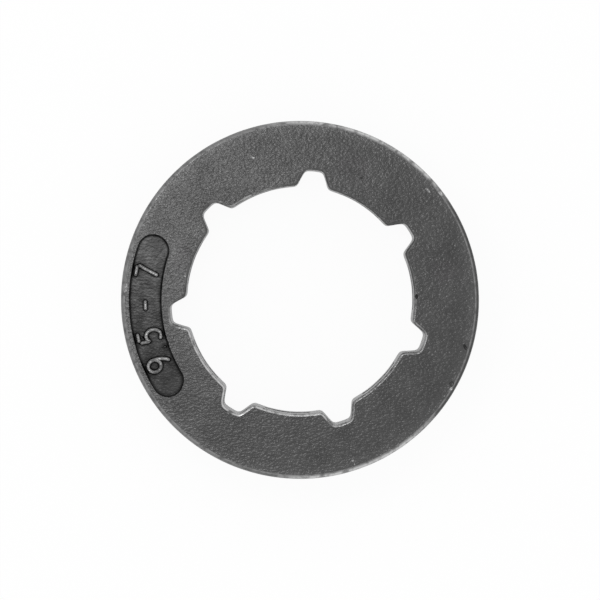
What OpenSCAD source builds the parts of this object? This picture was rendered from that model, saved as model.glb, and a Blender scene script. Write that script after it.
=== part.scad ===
// Rim sprocket for a saw chain: a one-piece casting with two flat side rims
// that carry the chain's straps, a ring of drive teeth between them, and a
// splined bore that floats on the hub of a clutch drum.
// The axis is +Z and the origin lies on it, in the plane of the lower face.

/* [Rims] */
// Outside diameter of both rims
rim_d = 36; // [34:0.5:44]
// Thickness of each rim
rim_t = 3.2; // [2.4:0.1:4.5]
// Rounding of the rims' outer edges
rim_edge_r = 0.45; // [0.1:0.05:0.6]

/* [Chain pockets] */
// Number of drive teeth, with one open pocket between each two
teeth = 7; // [6:1:8]
// Width of the groove between the rims, for the chain's drive links
groove_w = 2.1; // [1.5:0.1:3]
// Rounding of the rims' edges at the mouth of the groove
groove_edge_r = 0.2; // [0.1:0.05:0.5]
// Width of a tooth at its tip
tooth_tip_w = 4.8; // [3.5:0.1:5.5]
// Angle between each flank of a tooth and the tooth's centre line
tooth_taper = 5; // [2:0.5:8]
// Depth of the tooth tips below the outside of the rims
tooth_drop = 0.9; // [0.4:0.1:1.5]
// Rounding of the tooth tips' corners
tooth_tip_r = 0.8; // [0.3:0.1:1.2]

/* [Splined bore] */
// Diameter between the lands of the bore
bore_d = 22.9; // [20:0.1:24]
// Number of spline grooves
splines = 7; // [6:1:9]
// Depth of a spline groove below the lands
spline_depth = 1.64; // [1.2:0.02:2.2]
// Width of a spline groove at its floor
spline_floor_w = 1.8; // [1.4:0.1:2.4]
// Angle between each flank of a groove and the groove's centre line
spline_flank = 22; // [10:1:30]
// Rounding of the corners at a groove's floor
spline_floor_r = 0.35; // [0.2:0.05:0.5]
// Rounding of the corners at a groove's mouth
spline_mouth_r = 0.45; // [0.4:0.05:0.7]
// Chamfer of the bore's and the grooves' edges at both faces
bore_chamfer = 0.25; // [0.1:0.05:0.3]

/* [Size mark] */
// Metal left beside the recess, out to the rim and in to the groove's floor
mark_margin = 0.8; // [0.6:0.1:1.6]
// Angle between the centres of the recess's round ends
mark_sweep = 50; // [20:0.5:70]
// Depth of the recess
mark_depth = 0.35; // [0.1:0.05:0.8]
// Draft of the recess's wall
mark_draft = 20; // [5:1:35]

/* [Hidden] */
$fn = 96;

// Room that a cut takes beyond the face that it opens
over = 0.05;
// Rise of a corner's arc past the lines that it joins, so that they cross
blend = 0.004;
// Angle by which the chamfer of a corner runs on into its neighbours
lap = 15;
// Direction from the axis to the middle of the size mark and its groove
mark_angle = 180;

rim_r = rim_d / 2;
bore_r = bore_d / 2;
floor_r = bore_r + spline_depth;
tip_r = rim_r - tooth_drop;
height = 2 * rim_t + groove_w;
chamfer = min(bore_chamfer, spline_mouth_r - 2 * over);
mark_r = (floor_r + rim_r) / 2;
mark_half_w = (rim_r - floor_r) / 2 - mark_margin;

// A radial lug points along +X and ends in an arc of radius r round the axis.
// Its flanks lean by angle a and would meet that arc w apart; c rounds the
// corners. These functions give the flank on the side of positive Y.
function inward(a) = [-cos(a), sin(a)];
function outward(a) = [sin(a), cos(a)];
function sharp_corner(r, w) = [sqrt(r * r - w * w / 4), w / 2];
// Point on the line from p along the unit vector d, going inwards, where its
// distance from the axis comes down to r
function inward_to(p, d, r) =
    let (along = p * d, root = sqrt(along * along - p * p + r * r))
    p - (along + root) * d;
function corner_centre(r, w, a, c) =
    inward_to(sharp_corner(r, w) - (c - blend) * outward(a), inward(a), r - c + blend);
function polar_angle(p) = atan2(p[1], p[0]);
function flipped(p) = [p[0], -p[1]];

// Centres of a spline groove's corner arcs, and the flank's ends beside them
spline_corner = corner_centre(floor_r, spline_floor_w, spline_flank, spline_floor_r);
spline_mouth = inward_to(
    sharp_corner(floor_r, spline_floor_w) + (spline_mouth_r - blend) * outward(spline_flank),
    inward(spline_flank), bore_r + spline_mouth_r - blend);
flank_end = spline_corner + (spline_floor_r - blend) * outward(spline_flank);
flank_start = spline_mouth - (spline_mouth_r - blend) * outward(spline_flank);

// Copies the children evenly round the axis, with the first at the size mark
module around(count) {
    for (i = [0 : count - 1])
        rotate(mark_angle + i * 360 / count) children();
}

// Copies the children and their mirror image across the X axis
module both_flanks() {
    children();
    mirror([0, 1, 0]) children();
}

// Copies the children, drawn with the face at z = 0, to both faces
module both_faces() {
    translate([0, 0, height]) children();
    mirror([0, 0, 1]) children();
}

// Lug from the axis to radius r
module radial_lug(r, w, a, c) {
    centre = corner_centre(r, w, a, c);
    side = centre + (c - blend) * outward(a);
    root = side + side[0] / cos(a) * inward(a);
    polygon([root, side, centre, flipped(centre), flipped(side), flipped(root)]);
    both_flanks() translate(centre) circle(c);
    // the end's arc, between the two corners
    intersection() {
        circle(r);
        polygon([[0, 0], 2 * centre, 2 * flipped(centre)]);
    }
}

// Rounded mouth corner of a spline groove, cut into the land beside it
module spline_mouth_corner() {
    land_foot = spline_mouth * (1 - (spline_mouth_r - blend) / norm(spline_mouth));
    difference() {
        polygon([[0, 0], land_foot, spline_mouth, flank_start]);
        translate(spline_mouth) circle(spline_mouth_r);
    }
}

// Outline of the splined bore
module bore_outline() {
    circle(bore_r);
    around(splines) {
        radial_lug(floor_r, spline_floor_w, spline_flank, spline_floor_r);
        both_flanks() spline_mouth_corner();
    }
}

// Sections of the cuts that break an edge: the wall lies at x = 0 with the
// metal at positive x, and the face lies at y = 0 with the metal below it
module chamfer_section(c) {
    polygon([[-over, -c - over], [c + over, over], [-over, over]]);
}

module rounding_section(r) {
    difference() {
        translate([-over, -r]) square([r + over, r + over]);
        translate([r, -r]) circle(r);
    }
}

// Cut that breaks the edge of one spline groove at a face
module spline_edge() {
    floor_angle = polar_angle(spline_corner);
    mouth_angle = polar_angle(spline_mouth);
    flank_angle = 90 - spline_flank;
    flank_l = norm(flank_end - flank_start) + spline_mouth_r;
    // floor
    rotate(-floor_angle) rotate_extrude(angle = 2 * floor_angle)
        translate([floor_r, 0]) chamfer_section(chamfer);
    both_flanks() {
        // corner at the floor
        translate(spline_corner) rotate(floor_angle - lap)
            rotate_extrude(angle = flank_angle - floor_angle + 2 * lap)
                translate([spline_floor_r, 0]) chamfer_section(chamfer);
        // flank
        translate(flank_end + flank_l * inward(spline_flank)) rotate([90, 0, flank_angle])
            linear_extrude(flank_l) chamfer_section(chamfer);
        // corner at the mouth
        translate(spline_mouth) rotate(180 + mouth_angle)
            rotate_extrude(angle = flank_angle - mouth_angle)
                translate([spline_mouth_r, 0]) mirror([1, 0]) chamfer_section(chamfer);
    }
}

// Section of one rim, with its face at y = 0 and the metal below
module rim_section() {
    difference() {
        translate([bore_r, -rim_t]) square([rim_r - bore_r, rim_t]);
        translate([bore_r, 0]) chamfer_section(chamfer);
        translate([rim_r, 0]) mirror([1, 0]) rounding_section(rim_edge_r);
        translate([rim_r, -rim_t]) rotate(180) rounding_section(groove_edge_r);
    }
}

module rims() {
    both_faces() rotate_extrude() rim_section();
}

// Drive teeth, which join the rims and leave the pockets open to the bore
module drive_teeth() {
    translate([0, 0, rim_t]) linear_extrude(groove_w) difference() {
        around(teeth) radial_lug(tip_r, tooth_tip_w, tooth_taper, tooth_tip_r);
        bore_outline();
    }
}

// Recess for a size mark in the upper face, with round ends and drafted wall
module mark_recess() {
    slope = tan(mark_draft);
    floor_half = mark_half_w - mark_depth * slope;
    top_half = mark_half_w + over * slope;
    section = [[-floor_half, -mark_depth], [floor_half, -mark_depth],
               [top_half, over], [-top_half, over]];
    translate([0, 0, height]) rotate(mark_angle - mark_sweep / 2) {
        rotate_extrude(angle = mark_sweep) translate([mark_r, 0]) polygon(section);
        for (end = [0, mark_sweep])
            rotate(end) translate([mark_r, 0, -mark_depth])
                cylinder(h = mark_depth + over, r1 = floor_half + blend, r2 = top_half + blend);
    }
}

module rim_sprocket() {
    color([0.33, 0.33, 0.33]) {
        difference() {
            rims();
            translate([0, 0, -over]) linear_extrude(height + 2 * over) bore_outline();
            both_faces() around(splines) spline_edge();
            mark_recess();
        }
        drive_teeth();
    }
}

rim_sprocket();
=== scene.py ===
import math

import bpy
from mathutils import Matrix, Vector


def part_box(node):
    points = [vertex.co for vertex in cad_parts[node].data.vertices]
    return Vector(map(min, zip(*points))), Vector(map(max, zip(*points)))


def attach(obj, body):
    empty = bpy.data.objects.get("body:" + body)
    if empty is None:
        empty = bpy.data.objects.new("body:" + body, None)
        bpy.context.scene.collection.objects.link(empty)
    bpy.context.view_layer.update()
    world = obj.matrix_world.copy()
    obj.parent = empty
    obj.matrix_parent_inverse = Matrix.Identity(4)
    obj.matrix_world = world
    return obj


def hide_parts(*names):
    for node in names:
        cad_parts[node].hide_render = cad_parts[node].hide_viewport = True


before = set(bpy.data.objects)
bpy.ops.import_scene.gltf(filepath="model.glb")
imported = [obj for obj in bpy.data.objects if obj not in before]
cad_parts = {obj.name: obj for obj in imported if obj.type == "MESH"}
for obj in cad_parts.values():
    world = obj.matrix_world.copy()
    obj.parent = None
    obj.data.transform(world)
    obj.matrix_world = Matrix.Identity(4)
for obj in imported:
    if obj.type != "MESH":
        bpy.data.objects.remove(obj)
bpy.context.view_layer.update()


# Rims.
# Two flat steel rings that carry the chain's straps, cast in one with the teeth between them. Tumbling has
# rounded their outer edges, a little less at the chain groove. Their rounded edges carry painted highlights
# at the upper right and the bottom, painted light on the left and painted shade on the right.
def label(name):
    """The name of a tree's socket, from the word for it in this script."""
    return name.replace("_", " ").title()


class Graph:
    """One node tree in the making. A socket takes either a constant or another node's output."""

    def __init__(self, tree):
        self.tree = tree

    def feed(self, socket, value):
        if isinstance(value, bpy.types.NodeSocket):
            self.tree.links.new(value, socket)
        else:
            socket.default_value = value

    def node(self, kind, sockets=None, **settings):
        node = self.tree.nodes.new(kind)
        for name, value in settings.items():
            setattr(node, name, value)
        for key, value in (sockets or {}).items():
            self.feed(node.inputs[key], value)
        return node

    def out(self, kind, sockets=None, **settings):
        return self.node(kind, sockets, **settings).outputs[0]

    def math(self, operation, *values):
        return self.out("ShaderNodeMath", dict(enumerate(values)), operation=operation)

    def mix(self, share, start, end):
        return self.out("ShaderNodeMix", {0: share, 2: start, 3: end}, data_type="FLOAT")

    def ramp(self, value, start, end, low=0.0, high=1.0):
        return self.out("ShaderNodeMapRange", {"Value": value, "From Min": start, "From Max": end,
                                               "To Min": low, "To Max": high})

    def axes(self, vector):
        return self.node("ShaderNodeSeparateXYZ", {0: vector}).outputs

    def vector(self, **axes):
        return self.out("ShaderNodeCombineXYZ", axes)

    def vector_math(self, operation, *vectors):
        return self.out("ShaderNodeVectorMath", dict(enumerate(vectors)), operation=operation)

    def measure(self, operation, *vectors):
        """A number that comes of vectors, such as a length."""
        node = self.node("ShaderNodeVectorMath", dict(enumerate(vectors)), operation=operation)
        return node.outputs["Value"]

    def scaled(self, vector, factor):
        return self.out("ShaderNodeVectorMath", {0: vector, "Scale": factor}, operation="SCALE")

    def moved(self, geometry, **place):
        return self.out("GeometryNodeSetPosition", {"Geometry": geometry, **place})

    def keep(self, geometry, name, value, **settings):
        return self.out("GeometryNodeStoreNamedAttribute",
                        {"Geometry": geometry, "Name": name, "Value": value}, **settings)

    def recall(self, name, **settings):
        return self.out("GeometryNodeInputNamedAttribute", {"Name": name}, **settings)

    def along_edge(self, stretch, low, high):
        """Goes from low to high round the axis, into a stretch of edge. The stretch has the bearing of its
        middle, in degrees, and the cosines of the angles from there at which it begins and is full."""
        bearing, begins, full = stretch
        angle = math.radians(bearing)
        level = self.vector_math("MULTIPLY", self.out("GeometryNodeInputPosition"), (1, 1, 0))
        nearness = self.measure("DOT_PRODUCT", self.vector_math("NORMALIZE", level),
                                (math.cos(angle), math.sin(angle), 0))
        return self.ramp(nearness, begins, full, low, high)

    def worn_and_painted(self, geometry, wear_and_painted_light, *bands):
        """Keeps on each face a value from -1, black with dirt and painted shade, to 1, bright bare metal and
        painted highlights. The level faces have the first value, and each band gives the range of slope over
        which the next value comes, and that value."""
        upright = self.axes(self.out("GeometryNodeInputNormal"))["Z"]
        slope = self.math("SUBTRACT", 1, self.math("MULTIPLY", upright, upright))
        for slopes, next_wear in bands:
            wear_and_painted_light = self.mix(self.ramp(slope, *slopes), wear_and_painted_light, next_wear)
        return self.keep(geometry, "wear_and_painted_light", wear_and_painted_light, domain="FACE")

    def shape(self, tree, **sockets):
        """What another tree makes, with some of its inputs set."""
        return self.out("GeometryNodeGroup", {label(name): value for name, value in sockets.items()},
                        node_tree=tree)

    def ends_in(self, geometry):
        self.feed(self.result, geometry)
        return self.tree


def new_shape(name, takes=None, **sizes):
    """A geometry tree with a named input for each size, in millimetres or radians."""
    tree = bpy.data.node_groups.new(name, "GeometryNodeTree")
    tree.interface.new_socket("Geometry", in_out="OUTPUT", socket_type="NodeSocketGeometry")
    if takes:
        tree.interface.new_socket(takes, in_out="INPUT", socket_type="NodeSocketGeometry")
    for size, value in sizes.items():
        kind = "NodeSocketInt" if isinstance(value, int) else "NodeSocketFloat"
        socket = tree.interface.new_socket(label(size), in_out="INPUT", socket_type=kind)
        socket.default_value = value
    graph = Graph(tree)
    graph.given = graph.node("NodeGroupInput").outputs
    graph.result = graph.node("NodeGroupOutput").inputs[0]
    return graph


def rounded_prism_tree(steps=8, sweep=math.radians(85)):
    """A prism over a closed outline. A positive flare widens that end in a quarter round, a negative one
    narrows it. An overrun carries the end past its level, and the wall strays outwards by its unevenness."""
    graph = new_shape("rounded_prism", "Outline", low=0.0, high=1.0, low_flare=0.0, high_flare=0.0,
                      low_overrun=0.0, high_overrun=0.0, unevenness=0.0)
    given = graph.given
    rows = 2 * (steps + 2)
    line = graph.out("GeometryNodeCurvePrimitiveLine", {"End": (0, 0, 1)})
    path = graph.out("GeometryNodeResampleCurve", {"Curve": line, "Count": rows}, mode="COUNT")

    index = graph.out("GeometryNodeInputIndex")
    is_high = graph.math("GREATER_THAN", index, rows / 2 - 0.5)
    from_end = graph.math("MINIMUM", index, graph.math("SUBTRACT", rows - 1, index))
    step = graph.math("MAXIMUM", graph.math("SUBTRACT", from_end, 1), 0)
    angle = graph.math("MULTIPLY_ADD", step, -sweep / steps, sweep)
    flare = graph.mix(is_high, given["Low Flare"], given["High Flare"])
    spread = graph.math("MULTIPLY", flare, graph.math("SUBTRACT", 1, graph.math("COSINE", angle)))
    rounded = graph.math("MULTIPLY", graph.math("ABSOLUTE", flare),
                         graph.math("SUBTRACT", 1, graph.math("SINE", angle)))
    overrun = graph.mix(is_high, given["Low Overrun"], given["High Overrun"])
    is_last = graph.math("LESS_THAN", from_end, 0.5)
    inset = graph.mix(is_last, rounded, graph.math("MULTIPLY", overrun, -1))
    level = graph.mix(is_high, graph.math("ADD", given["Low"], inset),
                      graph.math("SUBTRACT", given["High"], inset))

    path = graph.keep(path, "spread", spread)
    path = graph.moved(path, Position=graph.vector(Z=level))
    path = graph.out("GeometryNodeSetCurveNormal", {"Curve": path, "Normal": (1, 0, 0)}, mode="FREE")
    outward = graph.vector_math("CROSS_PRODUCT", graph.out("GeometryNodeInputTangent"), (0, 0, 1))
    outline = graph.keep(given["Outline"], "outward", outward, data_type="FLOAT_VECTOR")
    prism = graph.out("GeometryNodeCurveToMesh", {"Curve": path, "Profile Curve": outline, "Fill Caps": True})

    noise = graph.out("ShaderNodeTexNoise", {"Scale": 0.8, "Detail": 3.0, "Roughness": 0.6})
    stray = graph.math("MULTIPLY", graph.math("SUBTRACT", noise, 0.5), given["Unevenness"])
    outwards = graph.scaled(graph.recall("outward", data_type="FLOAT_VECTOR"),
                            graph.math("ADD", graph.recall("spread"), stray))
    return graph.ends_in(graph.moved(prism, Offset=outwards))


rounded_prism = rounded_prism_tree()

MM = 0.001
node_low, node_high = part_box("rim_sprocket")
rim_r = (node_high.x - node_low.x) / 2 / MM
height = (node_high.z - node_low.z) / MM
rim_t = 3.2
rim_edge_r = 0.45
groove_edge_r = 0.2
groove_top = height - rim_t
# share of the unevenness that comes off the radius, so that the walls stay inside the solid
stray_share = 0.3

# ranges of slope, the squared sine of a face's tilt: where an edge leaves the face, turns over and is a wall
edge_start = (0.0, 0.04)
edge_round = (0.08, 0.3)
edge_wall = (0.75, 1.0)
unworn = 0.0
rim_start_wear = 0.35
# the rounded outer edges are painted lighter on the left and carry painted shade on the right, with painted
# highlights at the upper right and the bottom
painted_light_left = (170, -0.5, 0.3)
painted_light_left_level = 0.22
painted_shade_right_level = -0.3
painted_highlight_upper_right = (60, 0.8, 0.93)
painted_highlight_bottom = (-75, 0.85, 0.95)
painted_highlight_level = 0.9


def rims_tree():
    graph = new_shape("rims", radius=rim_r, thickness=rim_t, height=height, face_edge=rim_edge_r,
                      groove_edge=groove_edge_r, unevenness=0.03)
    given = graph.given
    radius = graph.math("MULTIPLY_ADD", given["Unevenness"], -stray_share, given["Radius"])
    disc = graph.out("GeometryNodeCurvePrimitiveCircle", {"Resolution": 420, "Radius": radius})
    face_edge = graph.math("MULTIPLY", given["Face Edge"], -1)
    groove_edge = graph.math("MULTIPLY", given["Groove Edge"], -1)
    lower = graph.shape(rounded_prism, outline=disc, low=0.0, high=given["Thickness"], low_flare=face_edge,
                        high_flare=groove_edge, unevenness=given["Unevenness"])
    upper_low = graph.math("SUBTRACT", given["Height"], given["Thickness"])
    upper = graph.shape(rounded_prism, outline=disc, low=upper_low, high=given["Height"],
                        low_flare=groove_edge, high_flare=face_edge, unevenness=given["Unevenness"])
    both = graph.node("GeometryNodeJoinGeometry")
    for rim in (lower, upper):
        graph.feed(both.inputs[0], rim)
    # painted light on the left and painted shade on the right of the rounded edges, and painted highlights at
    # the upper right and the bottom
    painted_side_light = graph.along_edge(painted_light_left, painted_shade_right_level, painted_light_left_level)
    rub_and_painted_light = graph.math("MAXIMUM", graph.along_edge(painted_highlight_upper_right, painted_side_light, painted_highlight_level),
                        graph.along_edge(painted_highlight_bottom, painted_side_light, painted_highlight_level))
    return graph.ends_in(graph.worn_and_painted(both.outputs[0], unworn, (edge_start, rim_start_wear),
                                    (edge_round, rub_and_painted_light), (edge_wall, unworn)))


# Drive teeth.
# Seven spacers that hold the rims apart and push the chain's drive links. Each is a taper with an arc for
# its tip, and a small fillet runs into the rims at both ends.
tooth_count = 7
tooth_tip_w = 4.8
tooth_taper = math.radians(5)
tooth_drop = 0.9
tooth_inner_r = 10.4
tooth_tip_r = rim_r - tooth_drop
tooth_length = tooth_tip_r - tooth_inner_r
tooth_root_w = tooth_tip_w + 2 * math.tan(tooth_taper) * tooth_length
tooth_wear = 0.2
mark_angle = math.pi


def drive_teeth_tree():
    graph = new_shape("drive_teeth", count=tooth_count, low=rim_t, high=groove_top, tip_radius=tooth_tip_r,
                      length=tooth_length, tip_width=tooth_tip_w, root_width=tooth_root_w, corner=0.8,
                      fillet=0.25, overlap=0.4, first_angle=mark_angle, unevenness=0.03)
    given = graph.given
    position = graph.out("GeometryNodeInputPosition")
    axes = graph.axes(position)
    taper = graph.out("GeometryNodeCurvePrimitiveQuadrilateral",
                      {"Bottom Width": given["Root Width"], "Top Width": given["Tip Width"],
                       "Height": given["Length"], "Offset": 0.0}, mode="TRAPEZOID")
    corner = graph.math("MULTIPLY", graph.math("GREATER_THAN", axes["Y"], 0), given["Corner"])
    taper = graph.out("GeometryNodeFilletCurve", {"Curve": taper, "Radius": corner, "Count": 8}, mode="POLY")
    middle = graph.math("MULTIPLY_ADD", given["Length"], -0.5, given["Tip Radius"])
    taper = graph.out("GeometryNodeTransform", {"Geometry": taper, "Rotation": (0, 0, -math.pi / 2),
                                                "Translation": graph.vector(X=middle)})
    taper = graph.out("GeometryNodeResampleCurve", {"Curve": taper, "Length": 0.25}, mode="LENGTH")
    to_arc = graph.math("DIVIDE", axes["X"], graph.measure("LENGTH", position))
    tooth = graph.shape(rounded_prism, outline=graph.moved(taper, Position=graph.scaled(position, to_arc)),
                        low=given["Low"], high=given["High"], low_flare=given["Fillet"],
                        high_flare=given["Fillet"], low_overrun=given["Overlap"],
                        high_overrun=given["Overlap"], unevenness=given["Unevenness"])
    pitch = graph.math("DIVIDE", 2 * math.pi, given["Count"])
    turn = graph.math("MULTIPLY_ADD", graph.out("GeometryNodeInputIndex"), pitch, given["First Angle"])
    ring = graph.out("GeometryNodeInstanceOnPoints",
                     {"Points": graph.out("GeometryNodePoints", {"Count": given["Count"]}), "Instance": tooth,
                      "Rotation": graph.vector(Z=turn)})
    teeth = graph.out("GeometryNodeRealizeInstances", {0: ring})
    return graph.ends_in(graph.worn_and_painted(teeth, unworn, (edge_start, tooth_wear)))


# Splined bore.
# The hole that slides on the drum's hub: a round bore with seven grooves, open from face to face, with all
# its corners and edges run smooth in the casting. Its edge carries a painted highlight, which gives way to
# painted shade at the upper right and is dimmed on the left and at the lower right.
bore_r = 11.45
spline_count = 7
spline_floor_r = 13.09
spline_floor_w = 1.8
spline_mouth_w = 3.19
bore_edge_r = 0.28
bore_wall = (0.6, 0.95)
bore_wall_wear = 0.6
painted_shade_upper_right = (45, 0.3, 0.7)
painted_shade_upper_right_level = 0.05
# shares of the edge's painted highlight that are left on two shorter stretches, which are painted dimmer
painted_shade_left = (150, 0.75, 0.93)
painted_shade_left_share = 0.1
painted_shade_lower_right = (-50, 0.8, 0.95)
painted_shade_lower_right_share = 0.35


def splined_bore_tree():
    graph = new_shape("splined_bore", splines=spline_count, bore_radius=bore_r, floor_radius=spline_floor_r,
                      floor_half_angle=math.asin(spline_floor_w / 2 / spline_floor_r),
                      mouth_half_angle=math.asin(spline_mouth_w / 2 / bore_r), first_angle=mark_angle,
                      height=height, edge=bore_edge_r, overrun=0.3, unevenness=0.05)
    given = graph.given
    position = graph.out("GeometryNodeInputPosition")
    axes = graph.axes(position)
    circle = graph.out("GeometryNodeCurvePrimitiveCircle", {"Resolution": 2520, "Radius": 1.0})
    bearing = graph.math("SUBTRACT", graph.math("ARCTAN2", axes["Y"], axes["X"]), given["First Angle"])
    half_pitch = graph.math("DIVIDE", math.pi, given["Splines"])
    from_spline = graph.math("WRAP", bearing, half_pitch, graph.math("MULTIPLY", half_pitch, -1))
    radius = graph.ramp(graph.math("ABSOLUTE", from_spline), given["Floor Half Angle"],
                        given["Mouth Half Angle"], given["Floor Radius"], given["Bore Radius"])
    outline = graph.moved(circle, Position=graph.scaled(position, radius))
    outline = graph.out("GeometryNodeResampleCurve", {"Curve": outline, "Length": 0.09}, mode="LENGTH")
    blur = graph.node("GeometryNodeBlurAttribute", {"Iterations": 13}, data_type="FLOAT_VECTOR")
    graph.feed(next(socket for socket in blur.inputs if socket.enabled), position)
    outline = graph.moved(outline, Position=next(socket for socket in blur.outputs if socket.enabled))
    bore = graph.shape(
        rounded_prism, outline=outline, low=0.0, high=given["Height"], low_flare=given["Edge"],
        high_flare=given["Edge"], low_overrun=given["Overrun"], high_overrun=given["Overrun"],
        unevenness=given["Unevenness"])
    # the edge's painted highlight, which gives way to painted shade at the upper right and is dimmed on the
    # left and at the lower right
    rub_and_painted_light = graph.along_edge(painted_shade_upper_right, painted_highlight_level, painted_shade_upper_right_level)
    rub_and_painted_light = graph.math("MULTIPLY", rub_and_painted_light, graph.along_edge(painted_shade_left, 1.0, painted_shade_left_share))
    rub_and_painted_light = graph.math("MULTIPLY", rub_and_painted_light, graph.along_edge(painted_shade_lower_right, 1.0, painted_shade_lower_right_share))
    return graph.ends_in(graph.worn_and_painted(bore, unworn, (edge_start, rub_and_painted_light), (bore_wall, bore_wall_wear)))


# Mark recess.
# A shallow kidney-shaped hollow in the upper face, left by the pattern, that keeps the size figures below
# the face. Its floor runs into its wall in a small cove. The floor is darker than the face, and the cove and
# the wall carry painted shade, black at the wall.
mark_margin = 0.8
mark_sweep = math.radians(50)
mark_depth = 0.35
mark_r = (spline_floor_r + rim_r) / 2
mark_edge_r = 0.06
mark_w = rim_r - spline_floor_r - 2 * mark_margin - 2 * mark_edge_r
# a hair under a half, so that an end's two corners don't meet in one point
end_round_share = 0.499
steep = (0.3, 0.55)
# the floor is painted darker than the face; the cove and the steep wall carry painted shade
recess_floor_darkening = -0.68
recess_cove_painted_shade = -0.85
recess_wall_painted_shade = -1.0


def bend_tree():
    """Bends what lies along X round the axis, clockwise, with Y as the outward direction."""
    graph = new_shape("bend_round_axis", "Flat", radius=mark_r, angle=mark_angle)
    given = graph.given
    flat = graph.axes(graph.out("GeometryNodeInputPosition"))
    angle = graph.math("SUBTRACT", given["Angle"], graph.math("DIVIDE", flat["X"], given["Radius"]))
    radius = graph.math("ADD", given["Radius"], flat["Y"])
    bent = graph.vector(X=graph.math("MULTIPLY", radius, graph.math("COSINE", angle)),
                        Y=graph.math("MULTIPLY", radius, graph.math("SINE", angle)), Z=flat["Z"])
    return graph.ends_in(graph.moved(given["Flat"], Position=bent))


bend_round_axis = bend_tree()


def mark_recess_tree():
    graph = new_shape("mark_recess", length=mark_sweep * mark_r + mark_w, width=mark_w, top=height,
                      depth=mark_depth, cove=0.17, edge=mark_edge_r, overrun=0.2, unevenness=0.04)
    given = graph.given
    slot = graph.out("GeometryNodeCurvePrimitiveQuadrilateral",
                     {"Width": given["Length"], "Height": given["Width"]})
    end_round = graph.math("MULTIPLY", given["Width"], end_round_share)
    slot = graph.out("GeometryNodeFilletCurve", {"Curve": slot, "Radius": end_round, "Count": 20},
                     mode="POLY")
    slot = graph.out("GeometryNodeResampleCurve", {"Curve": slot, "Length": 0.1}, mode="LENGTH")
    recess = graph.shape(
        rounded_prism, outline=graph.shape(bend_round_axis, flat=slot),
        low=graph.math("SUBTRACT", given["Top"], given["Depth"]), high=given["Top"],
        low_flare=graph.math("MULTIPLY", given["Cove"], -1), high_flare=given["Edge"],
        high_overrun=given["Overrun"], unevenness=given["Unevenness"])
    return graph.ends_in(graph.worn_and_painted(recess, recess_floor_darkening, (edge_start, recess_cove_painted_shade),
                                    (steep, recess_wall_painted_shade)))


# Size figures.
# Raised strokes on the recess's floor that give the chain's pitch and the number of teeth. They are cast
# with the part, so they have round backs and run into the floor.
figure_top = 1.16
nine_at = -4.9
point_at = -3.45
five_at = -1.9
dash_at = 1.2
seven_at = 4.5
# the round backs are rubbed and carry a painted highlight, and the steep sides carry painted shade
figure_back_rub_and_highlight = 0.25
figure_side_painted_shade = -0.9
# how far a stroke's end is rounded off, a little short of a point
end_taper = 0.96

figure_lines = bpy.data.curves.new("size_figure_strokes", "CURVE")
figure_lines.dimensions = "3D"


def add_stroke(along, *points, closed=False):
    line = figure_lines.splines.new("POLY")
    line.points.add(len(points) - 1)
    for place, (x, y) in zip(line.points, points):
        place.co = (along + x, y, 0, 1)
    line.use_cyclic_u = closed


def arc(centre, radii, start, end, steps=16):
    """Points along an arc of an ellipse, from one angle to another in degrees."""
    angles = [math.radians(start + (end - start) * step / steps) for step in range(steps + 1)]
    return [(centre[0] + radii[0] * math.cos(a), centre[1] + radii[1] * math.sin(a)) for a in angles]


# first the strokes that others cross, then the rest, so that each set is free of crossings
add_stroke(nine_at, *arc((0, 0.5), (0.58, 0.66), 0, 340, steps=22), closed=True)
add_stroke(five_at, (0.55, figure_top), (-0.5, figure_top))
add_stroke(seven_at, (-0.6, figure_top), (0.6, figure_top))
crossed_strokes = len(figure_lines.splines)
add_stroke(nine_at, *arc((-0.3, 0.5), (0.88, 1.66), 0, -84))
add_stroke(point_at, (-0.14, -figure_top), (0.14, -figure_top))
add_stroke(five_at, (-0.5, figure_top), (-0.54, 0.1), *arc((-0.08, -0.4), (0.64, 0.76), 135, -145))
add_stroke(dash_at, (-0.6, 0), (0.6, 0))
add_stroke(seven_at, (0.6, figure_top), (-0.15, -figure_top))


def joined(graph, solids):
    union = graph.node("GeometryNodeMeshBoolean", operation="UNION", solver="MANIFOLD")
    for solid in solids:
        graph.feed(union.inputs["Mesh 2"], solid)
    return union.outputs[0]


def size_figures_tree():
    graph = new_shape("size_figures", "Strokes", floor=height - mark_depth, half_width=0.25, rise=1.1,
                      crossed=crossed_strokes)
    given = graph.given
    strokes = graph.out("GeometryNodeResampleCurve", {"Curve": given["Strokes"], "Length": 0.05},
                        mode="LENGTH")
    length = graph.out("GeometryNodeSplineLength")
    along = graph.node("GeometryNodeSplineParameter").outputs["Length"]
    to_end = graph.math("MINIMUM", along, graph.math("SUBTRACT", length, along))
    to_end = graph.math("MINIMUM", graph.math("DIVIDE", to_end, given["Half Width"]), 1)
    short = graph.math("SUBTRACT", 1, to_end)
    end_round = graph.math("SQRT", graph.math("MULTIPLY_ADD", graph.math("MULTIPLY", short, short),
                                              -end_taper, 1))
    cyclic = graph.out("GeometryNodeInputSplineCyclic")
    strokes = graph.keep(strokes, "thickness", graph.mix(cyclic, end_round, 1.0))
    strokes = graph.moved(graph.shape(bend_round_axis, flat=strokes), Offset=graph.vector(Z=given["Floor"]))
    strokes = graph.out("GeometryNodeSetCurveNormal", {"Curve": strokes}, mode="Z_UP")
    back = graph.out("GeometryNodeCurvePrimitiveCircle", {"Resolution": 14, "Radius": given["Half Width"]})
    back = graph.out("GeometryNodeTransform",
                     {"Geometry": back, "Scale": graph.vector(X=1.0, Y=given["Rise"], Z=1.0)})
    thickness = graph.recall("thickness")
    is_crossed = graph.math("LESS_THAN", graph.out("GeometryNodeInputIndex"), given["Crossed"])
    sets = graph.node("GeometryNodeSeparateGeometry", {"Geometry": strokes, "Selection": is_crossed},
                      domain="CURVE")
    ridges = [graph.out("GeometryNodeCurveToMesh",
                        {"Curve": lines, "Profile Curve": back, "Scale": thickness, "Fill Caps": True})
              for lines in sets.outputs]
    return graph.ends_in(graph.worn_and_painted(joined(graph, ridges), figure_back_rub_and_highlight, (steep, figure_side_painted_shade)))


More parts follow.
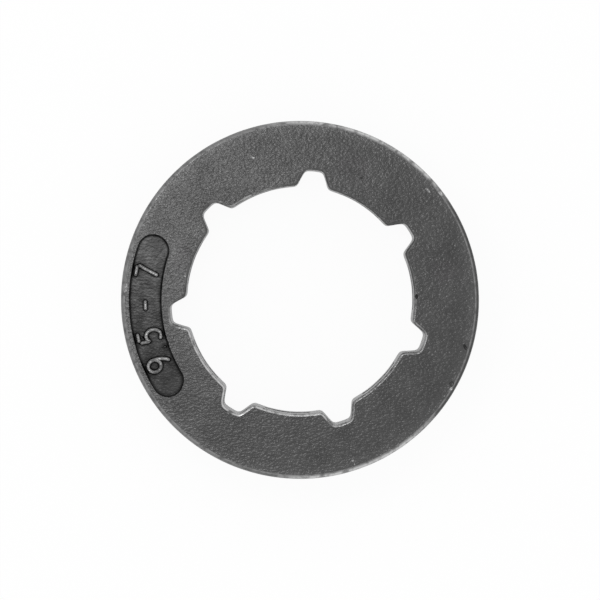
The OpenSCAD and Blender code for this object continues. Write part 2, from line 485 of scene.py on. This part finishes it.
# Knocks.
# Dents and nicks that handling has left in the upper face and its edges. A fresh one is bare metal, an old
# one is filled with black dirt.
def knocks_tree():
    graph = new_shape("knocks", top=height)
    all_knocks = graph.node("GeometryNodeJoinGeometry")

    def knock(at, lean, size, wear_and_painted_light, below=0.0):
        """A dent at a bearing and a radius, with its length turned by its lean, and a size of length, width
        and depth. Angles are in degrees."""
        bearing, radius = at
        length, width, depth = size
        angle = math.radians(bearing)
        level = graph.math("SUBTRACT", graph.given["Top"], below)
        place = graph.vector(X=radius * math.cos(angle), Y=radius * math.sin(angle), Z=level)
        ball = graph.out("GeometryNodeMeshIcoSphere", {"Radius": 1.0, "Subdivisions": 3})
        dent = graph.out("GeometryNodeTransform", {"Geometry": ball, "Translation": place,
                                                   "Rotation": (0, 0, math.radians(lean)),
                                                   "Scale": (length / 2, width / 2, depth)})
        graph.feed(all_knocks.inputs[0], graph.keep(dent, "wear_and_painted_light", wear_and_painted_light, domain="FACE"))

    # old nicks
    knock(at=(56.4, 13.78), lean=-6, size=(0.5, 0.24, 0.04), wear_and_painted_light=-0.4)
    knock(at=(-22.3, 17.25), lean=-71, size=(0.65, 0.28, 0.08), wear_and_painted_light=-0.5)
    knock(at=(-4.7, 11.7), lean=84, size=(0.5, 0.28, 0.1), wear_and_painted_light=-0.5)
    knock(at=(191.3, 14.0), lean=101, size=(0.6, 0.3, 0.3), wear_and_painted_light=-1.0)
    knock(at=(-35.3, 17.4), lean=0, size=(0.5, 0.45, 0.08), wear_and_painted_light=-0.3)
    # fresh nicks and scrapes
    knock(at=(31.1, 17.8), lean=-60, size=(0.9, 0.5, 0.12), wear_and_painted_light=0.8)
    knock(at=(34.2, 16.9), lean=-50, size=(0.7, 0.28, 0.03), wear_and_painted_light=0.3)
    knock(at=(102.1, 15.05), lean=-6, size=(0.5, 0.26, 0.05), wear_and_painted_light=0.5)
    knock(at=(161.8, 11.8), lean=20, size=(0.32, 0.3, 0.06), wear_and_painted_light=0.6)
    knock(at=(175.2, 15.5), lean=84, size=(0.5, 0.2, 0.05), wear_and_painted_light=0.5, below=mark_depth)
    knock(at=(-36.9, 17.62), lean=45, size=(0.4, 0.3, 0.06), wear_and_painted_light=1.0)
    knock(at=(-78.2, 17.0), lean=0, size=(0.32, 0.24, 0.05), wear_and_painted_light=1.0)
    knock(at=(-78.0, 17.36), lean=90, size=(0.32, 0.2, 0.06), wear_and_painted_light=0.9)
    knock(at=(169.5, 17.5), lean=80, size=(1.0, 0.4, 0.03), wear_and_painted_light=0.15)
    return graph.ends_in(all_knocks.outputs[0])


# Casting.
# The whole sprocket is one steel investment casting, tumbled and blackened: a dark grey, fine-grained skin
# with pale rubbed metal and painted highlights along the edges, painted shade in the recess, the corners and
# on the right of the rim, and black dirt in old nicks.
picture_turn = math.radians(6.4)
# share of the grain's fineness that it has lengthwise, across the picture
grain_lengthwise = 0.7
grain_height = 0.07
# the range that most of a noise's values lie in, and the grain's highest
noise_middle = (0.3, 0.7)
grain_peaks = (0.6, 0.75)
black_tones = (0.058, 0.07)
cloud_shares = (0.88, 1.12)
# the tone of bare metal, which the painted highlights take as well
bare_and_highlight_tone = 0.55
# wear that the whole skin has on the grain's peaks and in a band along the rim
slight_wear = 0.05
rim_band = 1.4
# rises of the normal at which a face begins to count as a wall and is one
wall_rises = (0.5, 0.2)
patch_range = (0.36, 0.54)
face_patch_share = 0.2
wall_patch_share = 0.6
# openness to the sky over which a corner's painted shade fades out, and the shares of the tone that dirt and
# painted shade leave
corner_reach = 0.4
corner_openness = (0.62, 0.93)
corner_share = 0.1
dirt_and_shade_range = (0.4, 0.6)
dirt_and_shade_shares = (0.05, 0.45)
black_roughness = (0.23, 0.25)
rubbed_roughness = 0.2
wall_roughness = 0.5
# the size of the faces' value at which the grain is smoothed, and the share of it that stays
grain_smoothed_at = 0.7
grain_left = 0.25


def cast_steel_skin():
    skin = bpy.data.materials.new("blackened_cast_steel")
    skin.use_nodes = True
    graph = Graph(skin.node_tree)
    shader = skin.node_tree.nodes["Principled BSDF"]
    place = graph.scaled(graph.node("ShaderNodeTexCoord").outputs["Object"], 1 / MM)
    turned = graph.out("ShaderNodeMapping", {"Vector": place, "Rotation": (0, 0, picture_turn)})

    def noise(scale, detail, roughness, vector=place):
        return graph.out("ShaderNodeTexNoise", {"Vector": vector, "Scale": scale, "Detail": detail,
                                                "Roughness": roughness})

    # black skin with a fine grain
    lengthwise = graph.vector_math("MULTIPLY", turned, (grain_lengthwise, 1, 1))
    grain = noise(scale=5.0, detail=2.0, roughness=0.5, vector=lengthwise)
    cloud = noise(scale=0.4, detail=3.0, roughness=0.5)
    tone = graph.math("MULTIPLY", graph.ramp(grain, *noise_middle, *black_tones),
                      graph.ramp(cloud, *noise_middle, *cloud_shares))

    # metal rubbed bare along the edges, in patches, and a little on the grain's peaks and towards the rim,
    # with painted highlights on stretches of edge
    wear_and_painted_light = graph.node("ShaderNodeAttribute", attribute_name="wear_and_painted_light").outputs["Fac"]
    radius = graph.measure("LENGTH", graph.vector_math("MULTIPLY", turned, (1, 1, 0)))
    towards_rim = graph.ramp(radius, rim_r - rim_band, rim_r, high=slight_wear)
    peaks = graph.ramp(grain, *grain_peaks, high=slight_wear)
    upright = graph.axes(graph.node("ShaderNodeTexCoord").outputs["Normal"])["Z"]
    is_wall = graph.ramp(graph.math("ABSOLUTE", upright), *wall_rises)
    patches = graph.ramp(noise(scale=1.3, detail=5.0, roughness=0.65), *patch_range,
                         low=graph.mix(is_wall, face_patch_share, wall_patch_share))
    rub_and_painted_light = graph.math("MULTIPLY_ADD", graph.math("MAXIMUM", wear_and_painted_light, 0), patches,
                        graph.math("ADD", towards_rim, peaks))
    tone = graph.mix(rub_and_painted_light, tone, bare_and_highlight_tone)

    # painted shade in the corners of the recess, round its figures and in the pockets, from how open each
    # point is to the sky, and darkening where the faces' value is below zero, for dirt and painted shade
    openness = graph.node("ShaderNodeAmbientOcclusion", {"Distance": corner_reach * MM}, samples=16,
                          only_local=True).outputs["AO"]
    dirt_and_painted_shade = graph.ramp(noise(scale=0.9, detail=3.0, roughness=0.5), *dirt_and_shade_range, *dirt_and_shade_shares)
    clean_and_unshaded = graph.math("MULTIPLY", graph.ramp(openness, *corner_openness, low=corner_share),
                       graph.ramp(wear_and_painted_light, -1, 0, low=dirt_and_painted_shade))
    graph.feed(shader.inputs["Base Color"], graph.math("MULTIPLY", tone, clean_and_unshaded))

    shader.inputs["Metallic"].default_value = 0.9
    roughness = graph.mix(rub_and_painted_light, graph.ramp(grain, *noise_middle, *black_roughness), rubbed_roughness)
    graph.feed(shader.inputs["Roughness"], graph.mix(is_wall, roughness, wall_roughness))
    strength = graph.ramp(graph.math("ABSOLUTE", wear_and_painted_light), 0.0, grain_smoothed_at, 1.0, grain_left)
    bump = graph.out("ShaderNodeBump", {"Height": grain, "Strength": strength, "Distance": grain_height * MM})
    graph.feed(shader.inputs["Normal"], bump)
    return skin


def cut(graph, solid, hollows):
    difference = graph.node("GeometryNodeMeshBoolean", {"Mesh 1": solid}, operation="DIFFERENCE",
                            solver="MANIFOLD")
    for hollow in hollows:
        graph.feed(difference.inputs["Mesh 2"], hollow)
    return difference.outputs[0]


# rise of the normal above which a face is drawn flat
level_rise = 0.9999


def casting_tree(skin):
    graph = new_shape("sprocket_casting", "Strokes", sharp_angle=math.radians(38))
    whole = joined(graph, (graph.shape(rims_tree()), graph.shape(drive_teeth_tree())))
    hollowed = cut(graph, whole, (graph.shape(splined_bore_tree()), graph.shape(mark_recess_tree())))
    figures = graph.shape(size_figures_tree(), strokes=graph.given["Strokes"])
    knocked = cut(graph, joined(graph, (hollowed, figures)), (graph.shape(knocks_tree()),))

    in_metres = graph.out("GeometryNodeTransform", {"Geometry": knocked, "Scale": (MM, MM, MM)})
    upright = graph.axes(graph.out("GeometryNodeInputNormal"))["Z"]
    is_round = graph.math("LESS_THAN", graph.math("ABSOLUTE", upright), level_rise)
    smooth = graph.out("GeometryNodeSetShadeSmooth", {"Geometry": in_metres, "Shade Smooth": is_round})
    is_smooth = graph.math("LESS_THAN", graph.out("GeometryNodeInputMeshEdgeAngle"),
                           graph.given["Sharp Angle"])
    creased = graph.out("GeometryNodeSetShadeSmooth", {"Geometry": smooth, "Shade Smooth": is_smooth},
                        domain="EDGE")
    realized = graph.out("GeometryNodeRealizeInstances", {0: creased})
    return graph.ends_in(graph.out("GeometryNodeSetMaterial", {"Geometry": realized, "Material": skin}))


def made_by(name, tree, data):
    """The plain mesh that a tree makes, as an object of its own."""
    source = bpy.data.objects.new(name + "_source", data)
    bpy.context.scene.collection.objects.link(source)
    source.modifiers.new("shape", "NODES").node_group = tree
    mesh = bpy.data.meshes.new_from_object(source.evaluated_get(bpy.context.evaluated_depsgraph_get()))
    mesh.name = name
    bpy.data.objects.remove(source)
    piece = bpy.data.objects.new(name, mesh)
    bpy.context.scene.collection.objects.link(piece)
    return piece


casting = made_by("sprocket_casting", casting_tree(cast_steel_skin()), figure_lines)
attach(casting, "root")
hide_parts("rim_sprocket")


# Camera.
# It looks down on the upper face through a long lens, from a little beyond the middle, so that the bore's
# near wall shows.
image_right = Vector((math.cos(picture_turn), -math.sin(picture_turn), 0))
image_up = Vector((math.sin(picture_turn), math.cos(picture_turn), 0))
face_middle = Vector((0, 0, height * MM))
camera_left = 0.0016
camera_up = 0.00515
camera_height = 0.557
frame_width = 0.06025
sensor_width = 36


def looking_from(back, up):
    """The rotation of a camera or a lamp that has its back in one direction and its top towards another."""
    right = up.cross(back).normalized()
    return Matrix((right, back.cross(right), back)).transposed().to_euler()


camera_data = bpy.data.cameras.new("camera")
camera_data.sensor_width = sensor_width
camera_data.lens = sensor_width * camera_height / frame_width
camera_data.clip_start = 0.01
camera = bpy.data.objects.new("camera", camera_data)
camera_offset = camera_up * image_up - camera_left * image_right
camera.location = face_middle + camera_offset + Vector((0, 0, camera_height))
camera.rotation_euler = looking_from((camera.location - face_middle).normalized(), image_up)
bpy.context.scene.collection.objects.link(camera)
bpy.context.scene.camera = camera


# Floor and light.
# A plain pale table in an even white studio, with one small soft box close over the face, towards its upper
# left. The table lies a hair below the part, so that their faces don't meet.
table_half_w = 3.0
table_gap = 0.05 * MM
table_glow_share = 0.94


def table_top():
    paint = bpy.data.materials.new("pale_table")
    paint.use_nodes = True
    graph = Graph(paint.node_tree)
    shader = paint.node_tree.nodes["Principled BSDF"]
    shader.inputs["Base Color"].default_value = (0.86, 0.86, 0.86, 1)
    shader.inputs["Roughness"].default_value = 1
    shader.inputs["Specular IOR Level"].default_value = 0
    glow = graph.out("ShaderNodeEmission", {"Strength": 1.0})
    ray = graph.node("ShaderNodeLightPath").outputs
    seen = graph.math("MAXIMUM", ray["Is Camera Ray"],
                      graph.math("MAXIMUM", ray["Is Glossy Ray"], ray["Is Transmission Ray"]))
    white = graph.out("ShaderNodeMixShader", {0: graph.math("MULTIPLY", seen, table_glow_share),
                                              1: shader.outputs[0], 2: glow})
    # clear from below, where it would hide the part
    from_below = graph.node("ShaderNodeNewGeometry").outputs["Backfacing"]
    one_sided = graph.out("ShaderNodeMixShader",
                          {0: from_below, 1: white, 2: graph.out("ShaderNodeBsdfTransparent")})
    graph.feed(paint.node_tree.nodes["Material Output"].inputs["Surface"], one_sided)
    square = ((-1, -1), (1, -1), (1, 1), (-1, 1))
    corners = [(x * table_half_w, y * table_half_w, -table_gap) for x, y in square]
    mesh = bpy.data.meshes.new("table_top")
    mesh.from_pydata(corners, [], [(0, 1, 2, 3)])
    mesh.materials.append(paint)
    table = bpy.data.objects.new("table_top", mesh)
    bpy.context.scene.collection.objects.link(table)
    return table


table_top()

# the lamp's bearing in the picture, and its lean from upright
lamp_bearing = math.radians(138)
lamp_lean = math.radians(15)
lamp_distance = 0.105
lamp_side = 0.028
lamp_radiance = 6.2
sideways = math.cos(lamp_bearing) * image_right + math.sin(lamp_bearing) * image_up
to_lamp = math.sin(lamp_lean) * sideways + Vector((0, 0, math.cos(lamp_lean)))
lamp_data = bpy.data.lights.new("near_box", "AREA")
lamp_data.shape = "SQUARE"
lamp_data.size = lamp_side
lamp_data.energy = lamp_radiance * math.pi * lamp_side ** 2
lamp = bpy.data.objects.new("near_box", lamp_data)
lamp.location = face_middle + lamp_distance * to_lamp
lamp.rotation_euler = looking_from(to_lamp.normalized(), Vector((0, 0, 1)))
lamp.visible_camera = False
bpy.context.scene.collection.objects.link(lamp)

world = bpy.data.worlds.new("studio")
bpy.context.scene.world = world
world.use_nodes = True
world.node_tree.nodes["Background"].inputs["Color"].default_value = (1, 1, 1, 1)
world.node_tree.nodes["Background"].inputs["Strength"].default_value = 1.0
bpy.context.scene.view_settings.view_transform = "Standard"
